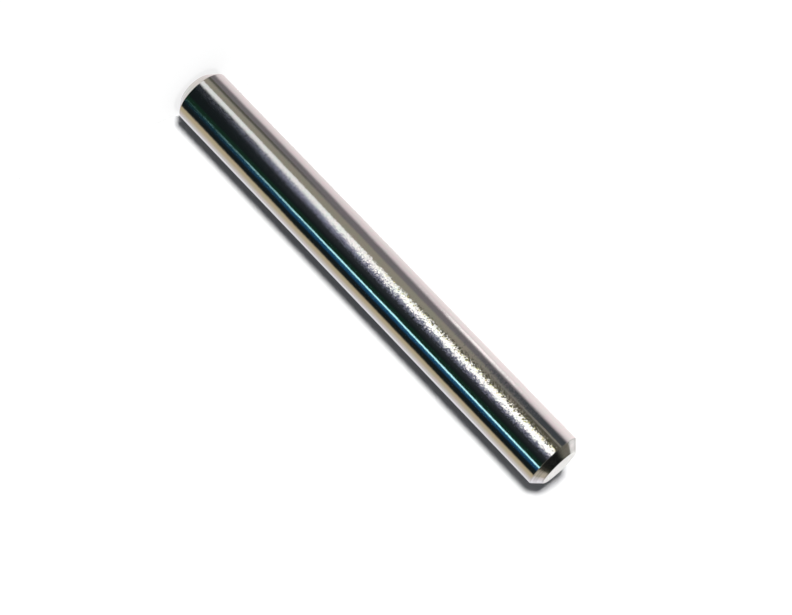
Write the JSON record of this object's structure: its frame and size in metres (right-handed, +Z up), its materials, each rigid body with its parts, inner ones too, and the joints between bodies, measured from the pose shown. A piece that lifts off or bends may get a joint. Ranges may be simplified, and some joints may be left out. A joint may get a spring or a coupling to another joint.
{
  "type": "locking pin",
  "caption": "Plain round steel locking pin: a ground parallel shank with a short cone and a flat face at each end.",
  "frame": {"origin": "centre of the lower end face, on which the pin stands", "axes": "+Z up the pin's axis, from the lower end face to the upper one; X and Y are free, because the pin is round"},
  "size_m": [0.008, 0.008, 0.07],
  "materials": {
    "ground_steel": "hardened, ground and polished bright all over, with fine marks running round the shank and cones"
  },
  "bodies": {
    "root": {"pin": "ground_steel"}
  },
  "joints": []
}
